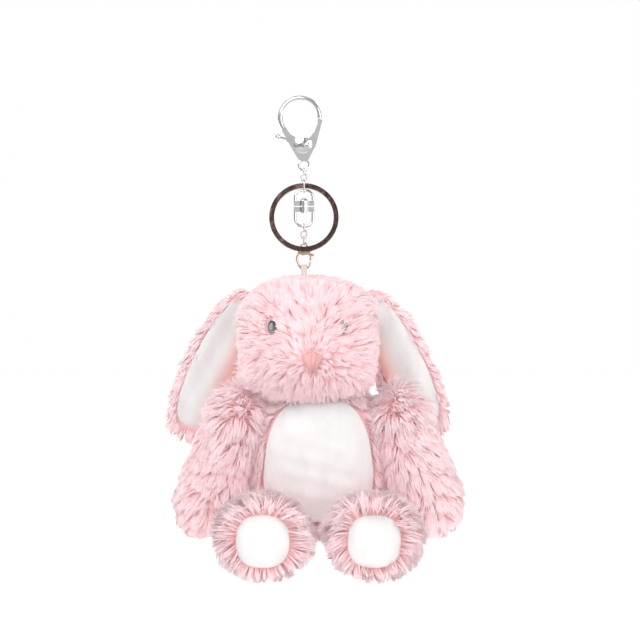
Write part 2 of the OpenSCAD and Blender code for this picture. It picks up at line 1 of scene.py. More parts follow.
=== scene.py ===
"""Plush rabbit bag charm: pile, velour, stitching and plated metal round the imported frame."""
import json
import math

import bpy
import numpy as np
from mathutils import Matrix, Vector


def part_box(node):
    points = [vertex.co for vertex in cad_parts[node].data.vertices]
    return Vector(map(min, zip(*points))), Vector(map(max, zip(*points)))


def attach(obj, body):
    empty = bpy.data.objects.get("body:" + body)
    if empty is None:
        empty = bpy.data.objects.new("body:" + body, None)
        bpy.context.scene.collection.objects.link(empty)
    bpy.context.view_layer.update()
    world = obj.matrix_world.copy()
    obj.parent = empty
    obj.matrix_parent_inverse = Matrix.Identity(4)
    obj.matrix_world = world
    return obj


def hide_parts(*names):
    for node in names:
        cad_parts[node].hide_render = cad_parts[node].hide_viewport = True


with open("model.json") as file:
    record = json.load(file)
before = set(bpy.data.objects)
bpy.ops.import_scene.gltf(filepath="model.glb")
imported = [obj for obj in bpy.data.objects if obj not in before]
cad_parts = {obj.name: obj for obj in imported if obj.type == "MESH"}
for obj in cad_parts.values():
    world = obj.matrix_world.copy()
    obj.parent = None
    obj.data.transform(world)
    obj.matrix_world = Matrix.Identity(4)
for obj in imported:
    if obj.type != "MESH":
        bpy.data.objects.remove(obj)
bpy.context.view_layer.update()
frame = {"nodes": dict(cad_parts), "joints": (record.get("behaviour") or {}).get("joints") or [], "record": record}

bl_info = {
    "name": "Plush Rabbit Charm",
    "version": (1, 0, 0),
    "blender": (4, 5, 0),
    "location": "View3D > Sidebar > Rabbit",
    "description": "Dresses the hanging rabbit charm in pile, velour and plated metal",
    "category": "Object",
}

MM = 0.001
JOINTS = {j["name"]: j for j in frame["joints"]}


def centre_of(node):
    """The middle of a CAD node's box, in mm."""
    low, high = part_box(node)
    return (np.array(low) + np.array(high)) / 2 / MM


def pivot_of(joint):
    """A joint's place, in mm."""
    return np.array(JOINTS[joint]["pos_m"]) / MM


# ---------------------------------------------------------------- settings


def length_prop(name, text, value):
    """A length property whose default is given in mm."""
    return bpy.props.FloatProperty(name=name, description=text, default=value * MM, unit="LENGTH", precision=5)


def colour_prop(name, text, value):
    """A colour property with a linear default."""
    return bpy.props.FloatVectorProperty(name=name, description=text, default=value, subtype="COLOR",
                                         size=3, min=0, max=1)


class PileSettings(bpy.types.PropertyGroup):
    """Lengths and thickness of the pile."""
    head: length_prop("Head", "Length of the pile on the head", 7.5)
    torso: length_prop("Torso", "Length of the pile on the torso", 8.5)
    arm: length_prop("Arms", "Length of the pile on the arms", 9.5)
    leg: length_prop("Legs", "Length of the pile on the legs", 10.5)
    ear: length_prop("Ears", "Length of the pile on the ears", 6.5)
    width: length_prop("Strand", "Thickness of a strand at its root", 0.4)
    density: bpy.props.FloatProperty(name="Density", description="Strands on each square millimetre",
                                     default=3.2, min=0.1)


class ClothSettings(bpy.types.PropertyGroup):
    """Colours of the cloths."""
    # The root colour also serves as painted shade, deep in the pile and in the gaps between tufts.
    root: colour_prop("Root", "Pile colour between the tufts", (0.90, 0.49, 0.51))
    middle: colour_prop("Middle", "Pile colour half way up", (0.95, 0.66, 0.69))
    tip: colour_prop("Tip", "Pile colour at the tips", (0.97, 0.79, 0.82))
    velour: colour_prop("Velour", "Colour of the belly, soles and ear linings", (0.74, 0.73, 0.725))
    # The ears' warm colour is painted shade on the linings' inner side, near the head.
    fold: colour_prop("Fold", "Warm shade in the folds of the ears", (0.86, 0.36, 0.31))
    nose: colour_prop("Nose", "Colour of the nose's stitches", (0.80, 0.44, 0.43))
    ribbon: colour_prop("Ribbon", "Colour of the hanging ribbon", (0.80, 0.70, 0.66))


class MetalSettings(bpy.types.PropertyGroup):
    """Colours of the platings."""
    chrome: colour_prop("Chrome", "Bright plating", (0.72, 0.72, 0.74))
    nickel: colour_prop("Dark nickel", "Split ring's plating", (0.085, 0.055, 0.048))
    warm: colour_prop("Warm silver", "Lower chain's plating", (0.74, 0.68, 0.62))
    rose: colour_prop("Rose gold", "Small clasp's plating", (0.80, 0.56, 0.48))


class StageSettings(bpy.types.PropertyGroup):
    """Camera and floor."""
    view_width: length_prop("View width", "Width that the camera takes in at the chain", 278.3)
    centre_x: length_prop("Centre X", "The view's centre to the right of the loop", 8.65)
    centre_z: length_prop("Centre Z", "The view's centre below the loop", -88.05)
    floor_z: length_prop("Floor", "Height of the floor", -236.0)
    lens: bpy.props.FloatProperty(name="Lens", description="Focal length", default=135.0, unit="CAMERA")


def settings(group):
    """One of the add-on's groups of settings on the scene."""
    return getattr(bpy.context.scene, group)


# ---------------------------------------------------------------- shader maths


class Value:
    """A shader socket or a number. Operators between values add Math nodes."""

    def __init__(self, shade, socket):
        self.shade, self.socket = shade, socket

    def _math(self, operation, *values):
        return self.shade.node("ShaderNodeMath", {"operation": operation}, dict(enumerate(values)))

    def __add__(self, other):
        return self._math("ADD", self, other)

    def __rsub__(self, other):
        return self._math("SUBTRACT", other, self)

    def __mul__(self, other):
        return self._math("MULTIPLY", self, other)

    __radd__, __rmul__ = __add__, __mul__

    def step(self, low, high, to_low=0.0, to_high=1.0):
        """Runs smoothly from to_low at low to to_high at high."""
        return self.shade.node("ShaderNodeMapRange", {"interpolation_type": "SMOOTHSTEP"},
                               {0: self, 1: low, 2: high, 3: to_low, 4: to_high})


class Shade:
    """A material or world being built."""

    def __init__(self, owner):
        owner.use_nodes = True
        self.tree = owner.node_tree
        self.tree.nodes.clear()

    def node(self, kind, setting=None, sockets=None, out=0):
        """Adds any node: its settings are set first, then its sockets' values or links. Returns one output."""
        made = self.tree.nodes.new(kind)
        for key, value in (setting or {}).items():
            if key == "stops":
                self._stops(made.color_ramp, value)
            else:
                setattr(made, key, value)
        for key, value in (sockets or {}).items():
            if isinstance(value, Value):
                self.tree.links.new(value.socket, made.inputs[key])
            else:
                made.inputs[key].default_value = value
        return Value(self, made.outputs[out]) if made.outputs else made

    @staticmethod
    def _stops(ramp, stops):
        while len(ramp.elements) < len(stops):
            ramp.elements.new(0.5)
        for element, (at, colour) in zip(ramp.elements, stops):
            element.position = at
            element.color = (*colour, 1.0)

    def mix(self, factor, a, b):
        """Colour a where factor is 0 and b where it is 1."""
        a, b = (c if isinstance(c, Value) else (*c, 1.0) for c in (a, b))
        return self.node("ShaderNodeMix", {"data_type": "RGBA"}, {0: factor, 6: a, 7: b}, out=2)

    def grey(self, level):
        """A number as a colour."""
        return self.node("ShaderNodeCombineColor", None, {0: level, 1: level, 2: level})

    def split(self, kind, value):
        """The three channels of a colour or vector, by the Separate node of that kind."""
        first = self.node(kind, None, {0: value})
        return [Value(self, output) for output in first.socket.node.outputs[:3]]

    def tint(self, colour, amount):
        """A colour made lighter or darker by a number."""
        return self.node("ShaderNodeMix", {"data_type": "RGBA", "blend_type": "MULTIPLY"},
                         {0: 1.0, 6: colour if isinstance(colour, Value) else (*colour, 1.0),
                          7: self.grey(amount)}, out=2)

    def place(self, scale=(1, 1, 1)):
        """Object coordinates, scaled."""
        co = self.node("ShaderNodeTexCoord", None, None, out=3)
        return self.node("ShaderNodeMapping", None, {0: co, 3: scale})

    def noise(self, size_mm, detail=3.0, scale=(1, 1, 1)):
        """Soft noise whose features are about size_mm."""
        return self.node("ShaderNodeTexNoise", None,
                         {"Vector": self.place(scale), "Scale": 1 / (size_mm * MM), "Detail": detail})

    def attribute(self, name):
        """The three channels of a colour attribute as numbers."""
        return self.split("ShaderNodeSeparateColor", self.node("ShaderNodeAttribute", {"attribute_name": name}))

    def bump(self, height, distance_mm, strength=1.0):
        """A Bump node's normal from a height between 0 and 1."""
        return self.node("ShaderNodeBump", None,
                         {"Strength": strength, "Distance": distance_mm * MM, "Height": height})

    def surface(self, sockets):
        """Ends the material in a Principled shader."""
        sockets = {k: ((*v, 1.0) if isinstance(v, tuple) and len(v) == 3 else v) for k, v in sockets.items()}
        shader = self.node("ShaderNodeBsdfPrincipled", None, sockets)
        self.node("ShaderNodeOutputMaterial", None, {0: shader})


def new_material(name):
    """A new material and the Shade that builds its nodes."""
    material = bpy.data.materials.new(name)
    return material, Shade(material)


def pile_material():
    """Pile strands: deep pink at the roots and paler to the tips, partly their own tone and partly painted shade deep
    in the pile, with painted shade in the gaps between tufts, a tone of its own in each tuft and a faint painted
    glow.
    """
    cloth = settings("rabbit_cloth")
    material, s = new_material("pile_strands")
    along, border, tuft = s.attribute("strand")
    patch, fine = s.noise(16, 2), s.noise(0.7, 2)
    # Deep pink at the roots, paler to the tips: partly the pile's own tone, partly painted shade deep in the pile.
    colour = s.mix(along.step(0.0, 0.5), tuple(cloth.root), tuple(cloth.middle))
    colour = s.mix(along.step(0.25, 1.0), colour, tuple(cloth.tip))
    # Painted shade between tufts: strands near a tuft's border darken towards the root colour, most near their roots.
    painted_crevice_shade = border.step(0.45, 1.0) * (1 - along * 0.75) * 0.55
    colour = s.mix(painted_crevice_shade, colour, tuple(cloth.root))
    pale = (along * 0.5 + tuft * 0.5) * patch.step(0.35, 0.7)
    colour = s.mix(pale * 0.3, colour, (0.98, 0.90, 0.91))
    colour = s.tint(colour, 0.93 + fine * 0.14)
    # Emission: a faint painted glow in the pile's root-to-tip colours, standing in for light passing through the pile
    # and lifting its shade.
    s.surface({"Base Color": colour, "Roughness": 0.8, "Specular IOR Level": 0.15,
               "Sheen Weight": 0.12, "Sheen Roughness": 0.4, "Sheen Tint": (1.0, 0.9, 0.92),
               "Emission Color": s.mix(along, tuple(cloth.root), tuple(cloth.tip)), "Emission Strength": 0.17})
    return material


def backing_material():
    """The knitted backing that shows between the tufts."""
    cloth = settings("rabbit_cloth")
    material, s = new_material("pile_backing")
    fine = s.noise(0.5, 2)
    colour = s.mix(s.noise(9, 3).step(0.3, 0.7), tuple(cloth.root), tuple(cloth.middle))
    colour = s.tint(colour, 0.8 + fine * 0.3)
    s.surface({"Base Color": colour, "Roughness": 0.95, "Specular IOR Level": 0.1,
               "Normal": s.bump(fine, 0.4, 0.8)})
    return material


def velour_material(name, folded=False):
    """Short white velour: a fine nap, soft brushed patches and, when asked, painted warm shade on an ear lining's
    inner side near the head.
    """
    cloth = settings("rabbit_cloth")
    material, s = new_material(name)
    nap, brushed = s.noise(0.35, 2), s.noise(7, 3, (1, 1, 0.6))
    colour = s.mix(brushed.step(0.35, 0.7), tuple(cloth.velour), (0.79, 0.782, 0.778))
    if folded:
        # Painted warm shade on the lining's inner side, near the head, from a colour attribute.
        fold = s.attribute("fold")[0]
        colour = s.mix(fold, colour, tuple(cloth.fold))
    colour = s.tint(colour, 0.95 + nap * 0.08)
    s.surface({"Base Color": colour, "Roughness": 0.9, "Specular IOR Level": 0.15, "Sheen Weight": 0.4,
               "Sheen Roughness": 0.5, "Normal": s.bump(nap * 0.6 + brushed * 0.4, 0.25, 0.6)})
    return material


def stitch_material(name, colour):
    """Satin stitches side by side, from the piece's own stitch attribute."""
    material, s = new_material(name)
    across, strand, _ = s.attribute("stitch")
    shade = s.tint(colour, 0.82 + strand * 0.22)
    s.surface({"Base Color": shade, "Roughness": 0.5, "Specular IOR Level": 0.4, "Sheen Weight": 0.3,
               "Normal": s.bump(across, 0.12, 0.8)})
    return material


def ribbon_material():
    """A woven ribbon: warp threads along it and finer weft across."""
    colour = tuple(settings("rabbit_cloth").ribbon)
    material, s = new_material("ribbon_weave")
    weave = s.node("ShaderNodeTexWave", {"bands_direction": "Z"}, {"Vector": s.place(), "Scale": 1100.0})
    warp = s.node("ShaderNodeTexWave", {"bands_direction": "X"}, {"Vector": s.place(), "Scale": 1500.0})
    threads = weave * 0.5 + warp * 0.5
    s.surface({"Base Color": s.tint(colour, 0.8 + threads * 0.25), "Roughness": 0.55,
               "Sheen Weight": 0.3, "Normal": s.bump(threads, 0.08, 0.8)})
    return material


def plated_material(name, colour, roughness, worn):
    """Plated metal: faint polishing waves, fine scuffs, and a little wear in soft random patches."""
    material, s = new_material(name)
    cloudy, scuff = s.noise(3, 4), s.noise(0.6, 5, (1, 1, 6))
    tone = s.mix(cloudy.step(0.4, 0.75) * 0.35, colour, worn)
    rough = roughness + scuff.step(0.5, 0.8) * 0.12 + cloudy * 0.05
    s.surface({"Base Color": tone, "Metallic": 1.0, "Roughness": rough, "Coat Weight": 0.3,
               "Normal": s.bump(s.noise(4.5, 1), 0.35, 0.4)})
    return material


def bead_material():
    """A glossy grey bead: dark round its rim, pale and clouded in the middle."""
    material, s = new_material("eye_bead")
    rim = s.attribute("bead")[0]
    colour = s.mix(rim.step(0.25, 0.75), (0.30, 0.31, 0.34), (0.04, 0.04, 0.045))
    s.surface({"Base Color": s.tint(colour, 0.85 + s.noise(0.8, 3) * 0.3), "Roughness": 0.16,
               "Coat Weight": 0.5})
    return material


# ---------------------------------------------------------------- mesh building


def face_starts(totals):
    """Where each face's corners start in the row."""
    return np.concatenate([[0], np.cumsum(totals)[:-1]])


def add_piece(name, body, verts, loops, totals, material, attributes=None, normals=None):
    """Makes a mesh object from arrays in mm: vertices, each face's corners in a row, and corners per face."""
    mesh = bpy.data.meshes.new(name)
    mesh.vertices.add(len(verts))
    mesh.vertices.foreach_set("co", (np.asarray(verts) * MM).astype(np.float32).ravel())
    mesh.loops.add(len(loops))
    mesh.loops.foreach_set("vertex_index", np.asarray(loops, dtype=np.int32))
    mesh.polygons.add(len(totals))
    mesh.polygons.foreach_set("loop_start", face_starts(totals).astype(np.int32))
    mesh.polygons.foreach_set("use_smooth", np.ones(len(totals), bool))
    mesh.update(calc_edges=True)
    mesh.validate()
    for key, values in (attributes or {}).items():
        layer = mesh.color_attributes.new(key, "FLOAT_COLOR", "POINT")
        layer.data.foreach_set("color", np.asarray(values, dtype=np.float32).ravel())
    if normals is not None:
        mesh.normals_split_custom_set_from_vertices(normals.tolist())
    mesh.materials.append(material)
    piece = bpy.data.objects.new(name, mesh)
    bpy.context.scene.collection.objects.link(piece)
    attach(piece, body)
    return piece


def closed_grid(points):
    """Faces of a closed skin over rings of points. Each ring closes on itself, and the first and last shrink to
    a single point. Takes an array of rings by points by 3, in which ring 0 and the last hold one repeated point."""
    rings, around = points.shape[:2]
    verts = np.concatenate([points[0, :1], points[1:-1].reshape(-1, 3), points[-1, :1]])
    ring = 1 + np.arange(rings - 2)[:, None] * around + np.arange(around)[None, :]
    turned = np.roll(ring, -1, axis=1)
    quads = np.stack([ring[:-1], ring[1:], turned[1:], turned[:-1]], -1).reshape(-1, 4)
    first = np.stack([np.zeros(around, int), ring[0], turned[0]], -1)
    last = np.stack([np.full(around, len(verts) - 1), turned[-1], ring[-1]], -1)
    loops = np.concatenate([first.ravel(), quads.ravel(), last.ravel()])
    totals = np.concatenate([np.full(around, 3), np.full(len(quads), 4), np.full(around, 3)])
    return verts, loops, totals


def outward(verts, loops, totals):
    """Turns every face round if the closed mesh's signed volume is negative."""
    starts = face_starts(totals)
    a, b, c = verts[loops[starts]], verts[loops[starts + 1]], verts[loops[starts + 2]]
    d = verts[loops[starts + totals - 1]]
    if (a * np.cross(b, c)).sum() + (a * np.cross(c, d)).sum() < 0:
        owner = np.repeat(np.arange(len(totals)), totals)
        within = np.arange(len(loops)) - starts[owner]
        loops = loops[starts[owner] + totals[owner] - 1 - within]
    return verts, loops, totals


def skin(name, body, surface, rings, around, material, attribute=None):
    """A closed skin over surface(u, v), u and v from 0 to 1 and v going round."""
    u, v = np.meshgrid(np.linspace(0, 1, rings), np.arange(around) / around, indexing="ij")
    points = surface(u, v)
    points[0], points[-1] = points[0].mean(0), points[-1].mean(0)
    verts, loops, totals = outward(*closed_grid(points))
    extra = None
    if attribute:
        key, rule = attribute
        values = rule(u, v)
        flat = np.concatenate([values[0, :1], values[1:-1].reshape(-1), values[-1, :1]])
        extra = {key: np.stack([flat, flat, flat, np.ones_like(flat)], -1)}
    return add_piece(name, body, verts, loops, totals, material, attributes=extra)


def unit(vectors):
    """Vectors scaled to length 1."""
    return vectors / np.maximum(np.linalg.norm(vectors, axis=-1, keepdims=True), 1e-9)


def dot(a, b):
    """Dot products of rows of vectors, as a column."""
    return (a * b).sum(-1, keepdims=True)


def lattice_random(cells, salt):
    """A repeatable number from 0 to 1 for each whole-number cell, from the fraction of a large sine."""
    mixed = cells @ np.array([12.9898, 78.233, 37.719]) + salt * 19.19
    return np.modf(np.abs(np.sin(mixed) * 43758.5453))[0]


def smooth_noise(points, size, salt):
    """Value noise from -1 to 1: random numbers at the corners of cubes, blended smoothly across each cube."""
    at = points / size
    cell = np.floor(at)
    t = at - cell
    t = t * t * (3 - 2 * t)
    total = np.zeros(len(points))
    for corner in np.ndindex(2, 2, 2):
        weight = np.prod(np.where(np.array(corner) == 1, t, 1 - t), axis=1)
        total += weight * lattice_random(cell + np.array(corner), salt)
    return total * 2 - 1


def tuft_centres(points, size, salt):
    """For each point, the nearest of one jittered centre per cube, and that centre's own random number."""
    cell = np.floor(points / size)
    best = np.full(len(points), 1e9)
    centre, number = np.zeros_like(points), np.zeros(len(points))
    for step in np.ndindex(3, 3, 3):
        near = cell + np.array(step) - 1
        jitter = np.stack([lattice_random(near, salt + k) for k in range(3)], -1)
        candidate = (near + jitter) * size
        distance = ((candidate - points) ** 2).sum(1)
        closer = distance < best
        best[closer] = distance[closer]
        centre[closer] = candidate[closer]
        number[closer] = lattice_random(near[closer], salt + 7)
    return centre, number


def sample(surface, count):
    """surface(u, v) on a square grid of count by count points."""
    even = np.linspace(0, 1, count)
    return surface(*np.meshgrid(even, even, indexing="ij"))


def cell_areas(surface, cells):
    """Twice the area of each cell of a square grid over surface(u, v), from its diagonals' cross product."""
    corner = sample(surface, cells + 1)
    a, b = corner[1:, 1:] - corner[:-1, :-1], corner[1:, :-1] - corner[:-1, 1:]
    return np.linalg.norm(np.cross(a, b), axis=-1)


def roots_on(surface, crowding, seed, cells=140):
    """Points spread evenly by area over surface(u, v), with their normals: crowding times the pile's density."""
    count = int(cell_areas(surface, 90).sum() / 2 * settings("rabbit_pile").density * crowding)
    rng = np.random.default_rng(seed)
    area = cell_areas(surface, cells).ravel()
    cell = rng.choice(len(area), size=count, p=area / area.sum())
    u = (cell // cells + rng.random(count)) / cells
    v = (cell % cells + rng.random(count)) / cells
    u = np.clip(u, 0.002, 0.998)
    e = 1e-3
    points = surface(u, v)
    normal = unit(np.cross(surface(u + e, v) - surface(u - e, v), surface(u, v + e) - surface(u, v - e)))
    if dot(normal, points - points.mean(0)).sum() < 0:
        normal = -normal
    return points, normal


def front_of(surface, at):
    """How far forward surface(u, v) comes at a point's x and z, in mm."""
    points = sample(surface, 300).reshape(-1, 3)
    points = points[points[:, 1] < points[:, 1].mean()]
    return points[np.argmin(np.hypot(points[:, 0] - at[0], points[:, 2] - at[2])), 1]


# A strand's faces: corners 0 to 2 are its root, 3 to 5 its bend and 6 its tip.
STRAND_FACES = ((2, 1, 0), (0, 1, 4, 3), (1, 2, 5, 4), (2, 0, 3, 5), (3, 4, 6), (4, 5, 6), (5, 3, 6))


def grow_pile(name, body, roots, normals, comb, length, lean, material, seed, tuft=4.2, pull=0.62, swirl=0.45):
    """Pile strands. Each is a closed spike of three sides with one bend: it leaves the skin between its normal
    and its combed direction, bends further over, and its tip is drawn towards the centre of its tuft."""
    rng = np.random.default_rng(seed)
    n = len(roots)
    width = settings("rabbit_pile").width / MM
    comb = unit(comb - normals * dot(comb, normals))
    side = np.cross(normals, comb)
    turn = swirl * smooth_noise(roots, 13.0, seed) + 0.6 * swirl * smooth_noise(roots, 5.0, seed + 3)
    turn = (turn + rng.normal(0, 0.16, n))[:, None]
    comb = comb * np.cos(turn) + side * np.sin(turn)
    over = np.clip(lean + 0.10 * smooth_noise(roots, 7.0, seed + 5) + rng.normal(0, 0.05, n), 0.05, 0.95)[:, None]
    size = (length * (0.86 + 0.18 * smooth_noise(roots, 6.0, seed + 9)) * rng.uniform(0.75, 1.12, n))[:, None]
    first = unit(normals * (1 - 0.75 * over) + comb * over * 0.8)
    second = unit(normals * (1 - over) * 0.7 + comb * (0.25 + over) + np.array([0, 0, -0.12]))
    bend = roots + first * size * 0.5
    tip = bend + second * size * 0.5
    centre, number = tuft_centres(roots, tuft, seed + 11)
    wisp, _ = tuft_centres(roots, tuft * 2.8, seed + 29)
    shift = centre - roots
    shift -= normals * dot(shift, normals)
    border = np.clip(np.linalg.norm(shift, axis=1) / (tuft * 0.62), 0, 1)
    far = wisp - roots
    far -= normals * dot(far, normals)
    tip += shift * pull + far * 0.24
    bend += shift * pull * 0.35 + far * 0.08
    direction = unit(tip - roots)
    across = unit(np.cross(direction, normals + 1e-3))
    up = np.cross(direction, across)
    phase = rng.uniform(0, 2 * np.pi, n)
    thick = width * rng.uniform(0.8, 1.2, n)
    verts = np.empty((n, 7, 3))
    for k in range(3):
        angle = phase + k * 2 * np.pi / 3
        spoke = across * np.cos(angle)[:, None] + up * np.sin(angle)[:, None]
        verts[:, k] = roots - normals * 0.3 + spoke * (thick * 0.5)[:, None]
        verts[:, 3 + k] = bend + spoke * (thick * 0.42)[:, None]
    verts[:, 6] = tip
    loops = (np.concatenate(STRAND_FACES)[None, :] + 7 * np.arange(n)[:, None]).ravel()
    totals = np.tile([len(face) for face in STRAND_FACES], n)
    shade = np.ones((n, 7, 4))
    shade[:, :, 0] = np.array([0, 0, 0, 0.5, 0.5, 0.5, 1.0])
    shade[:, :, 1] = border[:, None]
    shade[:, :, 2] = number[:, None]
    spoke_normal = unit(verts - (roots + (tip - roots) * 0.5)[:, None]) * 0.25
    soft = unit(normals * 0.7 + second * 0.2 + np.array([0, -0.35, 0.1]))[:, None] + spoke_normal
    return add_piece(name, body, verts.reshape(-1, 3), loops, totals, material,
                     {"strand": shade.reshape(-1, 4)}, unit(soft).reshape(-1, 3))


# ---------------------------------------------------------------- the rabbit's shapes

HEAD = np.array([3.4, 1.5, -95.5])
HEAD_HALF = np.array([27.5, 24.0, 26.0])
NOSE_AT = np.array([5.2, -30.5, -105.0])
TORSO = np.array([8.0, 5.0, -146.0])
TORSO_HALF = np.array([28.5, 22.0, 33.0])
DOWN = np.array([0.0, 0.0, -1.0])


MUZZLE, MUZZLE_WIDE, MUZZLE_HIGH, MUZZLE_DROP = 7.5, 14, 10.5, 2.5
BELLY_WIDE, BELLY_HIGH, BELLY_DROP = 23.0, 27.0, 1.5


def rounded(turn, power):
    """How far a rounded square of half side 1 reaches at an angle."""
    return (np.abs(np.cos(turn)) ** power + np.abs(np.sin(turn)) ** power) ** (-1 / power)


def lens_reach(u):
    """A lens's distance from its middle: 0 at both poles and 1 at its edge, where u is a half."""
    return np.sin(np.clip(np.where(u < 0.5, u * 2, (1 - u) * 2), 0, 1) * np.pi / 2)


def blob(u, v, centre, half, power, taper):
    """A rounded box: each direction's reach is the inverse of its coordinates' power-norm, scaled by the half
    sizes, and the width shrinks towards the top by the taper."""
    polar, turn = u * np.pi, v * 2 * np.pi
    d = np.stack([np.sin(polar) * np.cos(turn), np.sin(polar) * np.sin(turn), np.cos(polar)], -1)
    reach = (np.abs(d) ** power).sum(-1, keepdims=True) ** (-1 / power)
    p = d * reach
    p = p * np.concatenate([1 - taper * p[..., 2:], np.ones_like(p[..., 1:])], -1)
    return centre + p * half


def head_surface(u, v):
    """The head's rounded box with a muzzle: a bell-shaped swelling of its front round the nose."""
    p = blob(u, v, HEAD, HEAD_HALF - 0.3, 2.9, 0.05)
    near = ((p[..., 0] - NOSE_AT[0]) / MUZZLE_WIDE) ** 2 + ((p[..., 2] - NOSE_AT[2] + MUZZLE_DROP) / MUZZLE_HIGH) ** 2
    front = np.clip((HEAD[1] - p[..., 1]) / HEAD_HALF[1], 0, 1)
    p[..., 1] -= MUZZLE * np.exp(-near) * front
    return p


def torso_surface(u, v):
    """The torso's rounded box, a little narrower at the top."""
    return blob(u, v, TORSO, TORSO_HALF - 0.3, 2.2, 0.06)


def limb_surface(start, axis, profile):
    """A surface of revolution: profile(u) gives the distance along the axis and the radius."""
    axis = unit(np.array(axis, float))
    first = unit(np.cross(axis, np.array([0.13, 1.0, 0.07])))
    second = np.cross(axis, first)

    def surface(u, v):
        along, radius = profile(u)
        turn = v * 2 * np.pi
        return (start + axis * along[..., None] + first * (radius * np.cos(turn))[..., None]
                + second * (radius * np.sin(turn))[..., None])
    return surface


def arm_profile(u):
    """A sausage that widens to the hand: its radius grows evenly and closes with fourth-power round ends."""
    shoulder, hand, length = 8.0, 12.0, 42.0
    t = (1 - np.cos(np.pi * u)) / 2
    radius = (shoulder + (hand - shoulder) * t) * 1.04 * np.sqrt(np.clip(1 - np.abs(2 * t - 1) ** 4, 0, 1))
    return t * (length + shoulder + hand) - shoulder, radius


LEG_LENGTH, FOOT_R, HIP_R, SOLE_R = 36.0, 15.0, 11.0, 11.5


def leg_profile(u):
    """A round hip, a cone to the foot, an eased edge and a flat sole, followed at an even pace."""
    turn = np.radians(np.arange(0, 91, 15))
    along = np.concatenate([-HIP_R * np.cos(turn), [LEG_LENGTH * 0.35, LEG_LENGTH * 0.62],
                            LEG_LENGTH - 5 + 5 * np.sin(turn), [LEG_LENGTH]])
    radius = np.concatenate([HIP_R * np.sin(turn), [FOOT_R - 1.4, FOOT_R - 0.2],
                             FOOT_R - 5.2 + 5 * np.cos(turn), [0]])
    path = np.concatenate([[0], np.cumsum(np.hypot(np.diff(along), np.diff(radius)))])
    at = np.clip(u, 0, 1) * path[-1]
    return np.interp(at, path, along), np.interp(at, path, radius)


SIDES = {"left": -1, "right": 1}


def arm_axis(side):
    """Down along an arm, leaning outwards."""
    lean = math.radians(20)
    return np.array([side * math.sin(lean), 0.0, -math.cos(lean)])


def leg_axis():
    """Forwards along a leg, and slightly down."""
    low = math.radians(5)
    return np.array([0.0, -math.cos(low), -math.sin(low)])


EAR_LENGTH, EAR_WIDTH, EAR_THICK, EAR_TOP = 68.0, 24.0, 6.0, 3.0


def ear_frame(name, side):
    """The ear's root and its directions across the width, to the back and up its length."""
    lean = math.radians(25) * side
    up = np.array([-math.sin(lean), 0.0, math.cos(lean)])
    wide = np.array([math.cos(lean), 0.0, math.sin(lean)])
    return pivot_of(f"ear_{name}_swing"), wide, np.array([0.0, 1.0, 0.0]), up


def ear_point(place, x, y, z):
    """Points at distances across, behind and up from the ear's root."""
    root, wide, back, up = place
    return root + wide * x[..., None] + back * y[..., None] + up * z[..., None]


def ear_outline(u):
    """Half width of the ear from root to tip, widest past the middle."""
    s = np.sin(np.clip(u, 0, 1) * np.pi)
    return EAR_WIDTH / 2 * np.abs(s) ** 0.72 * (0.93 + 0.1 * np.sin((u - 0.5) * np.pi))


def ear_cup(x):
    """How far the ear's edges curl forwards."""
    return -1.6 * (x / (EAR_WIDTH / 2)) ** 2


def ear_close(u):
    """1 over the ear's middle, falling to 0 at both ends."""
    return np.abs(np.sin(np.clip(u, 0, 1) * np.pi)) ** 0.6


def ear_surface(name, side):
    """The ear's padded sheet: an oval cross-section whose width and thickness close at both ends."""
    place = ear_frame(name, side)

    def surface(u, v):
        turn = v * 2 * np.pi
        x = ear_outline(u) * np.cos(turn)
        thick = (EAR_THICK / 2 - 0.4) * ear_close(u)
        y = thick * np.sin(turn) + ear_cup(x)
        z = EAR_TOP - EAR_LENGTH / 2 + EAR_LENGTH / 2 * np.cos(np.clip(u, 0, 1) * np.pi)
        return ear_point(place, x, y, z)
    return surface


def lining_surface(name, side):
    """The ear's lining: a thin lens in front of the sheet with a smaller outline, and soft lengthwise waves."""
    place = ear_frame(name, side)

    def surface(u, v):
        turn = v * 2 * np.pi
        x = ear_outline(u) * 0.84 * np.cos(turn)
        rim = ear_close(u)
        wave = 0.35 * np.sin(x * 0.55 + u * 5) * rim
        y = -(EAR_THICK / 2 - 0.7) * rim + ear_cup(x) + 0.9 * np.sin(turn) * rim - 0.35 + wave
        z = EAR_TOP - EAR_LENGTH / 2 + EAR_LENGTH / 2 * 0.9 * np.cos(np.clip(u, 0, 1) * np.pi)
        return ear_point(place, x, y, z)
    return surface


def panel_outline(turn):
    """The belly panel's edge: a rounded box, narrow under the chin and broad above the legs."""
    reach = rounded(turn, 2.7)
    x, z = np.cos(turn) * reach, np.sin(turn) * reach
    return BELLY_WIDE * x * (1 - 0.14 * z), BELLY_HIGH * z


def belly_surface(u, v):
    """A closed lens on the torso's front: out to its edge over the front, and back behind it."""
    reach = lens_reach(u)
    ox, oz = panel_outline(v * 2 * np.pi)
    x, z = ox * reach, oz * reach - BELLY_DROP
    inside = np.clip(1 - np.abs(x / TORSO_HALF[0]) ** 2.2 - np.abs(z / TORSO_HALF[2]) ** 2.2, 0.02, 1)
    y = -TORSO_HALF[1] * inside ** (1 / 2.2)
    swell = np.where(u < 0.5, -1.1 - 0.9 * (1 - reach ** 2), 0.6)
    ripple = 0.25 * np.sin(x * 0.42 + 1.0) * np.sin(z * 0.3) + 0.15 * np.sin(z * 0.8 + x * 0.2)
    y = y + swell + np.where(u < 0.5, ripple * (1 - reach ** 4), 0)
    return TORSO + np.stack([x, y, z], -1)


